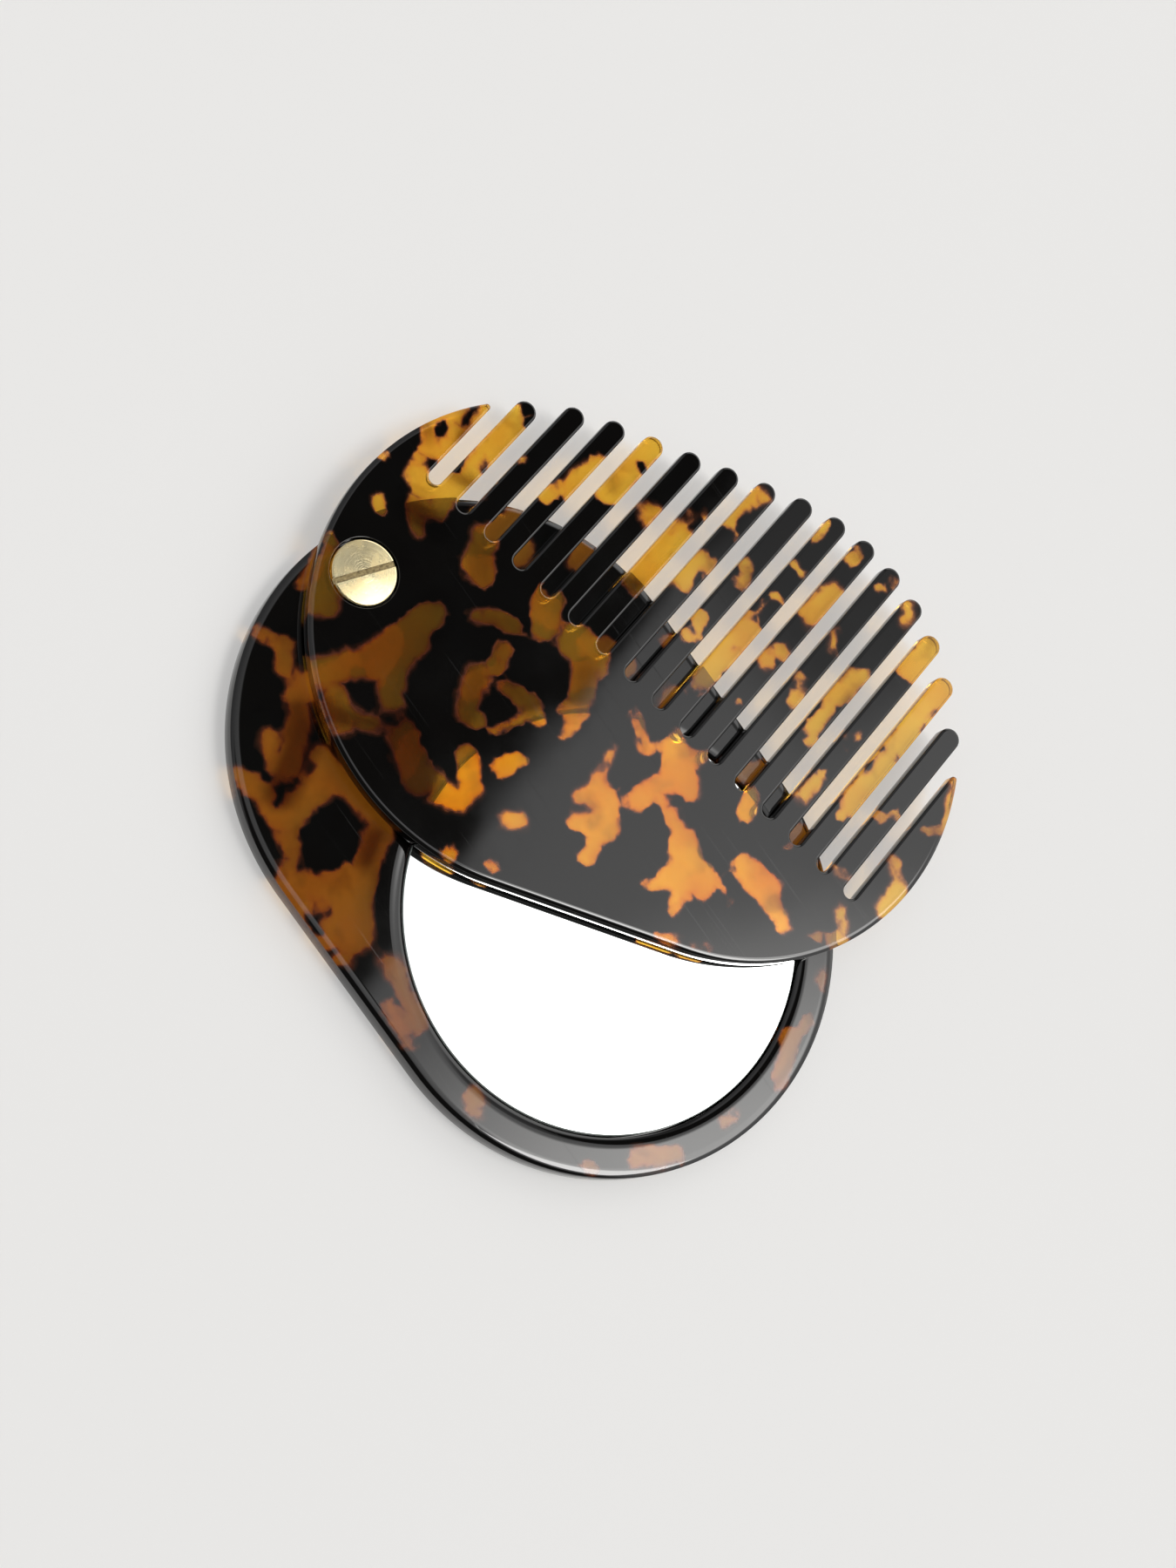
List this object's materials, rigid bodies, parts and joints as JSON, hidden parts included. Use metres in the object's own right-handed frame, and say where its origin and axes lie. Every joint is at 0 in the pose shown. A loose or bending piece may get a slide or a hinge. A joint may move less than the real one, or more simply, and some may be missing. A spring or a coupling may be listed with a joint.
{
  "type": "pocket mirror comb",
  "caption": "Flat pocket comb with slanted round-tipped teeth that swings out over a round mirror set in a matching plate, both turning on one slotted brass screw post.",
  "frame": {"origin": "middle of the mirror plate's flat back face", "axes": "+X along the mirror plate's long axis from the pivot end to the mirror end, +Z out of the mirror towards the comb"},
  "size_m": [0.1124, 0.1114, 0.0066],
  "materials": {
    "comb_acetate": "polished translucent amber and black tortoiseshell",
    "plate_acetate": "polished translucent amber and black tortoiseshell",
    "mirror": "silvered, clear",
    "adhesive": "thin film",
    "brass": "polished",
    "nylon": "natural"
  },
  "bodies": {
    "mirror_base": {"mirror_plate": "plate_acetate", "mirror_glass": "mirror", "mirror_adhesive": "adhesive", "barrel_nut": "brass", "spacer_washer": "nylon", "head_washer": "nylon", "pivot_screw": "brass"},
    "comb": {"comb_plate": "comb_acetate"}
  },
  "joints": [
    {"name": "comb_swing", "type": "hinge", "parent": "mirror_base", "child": "comb", "pos_m": [-0.046, 0, 0.0039], "axis": [0, 0, 1], "continuous": true}
  ]
}
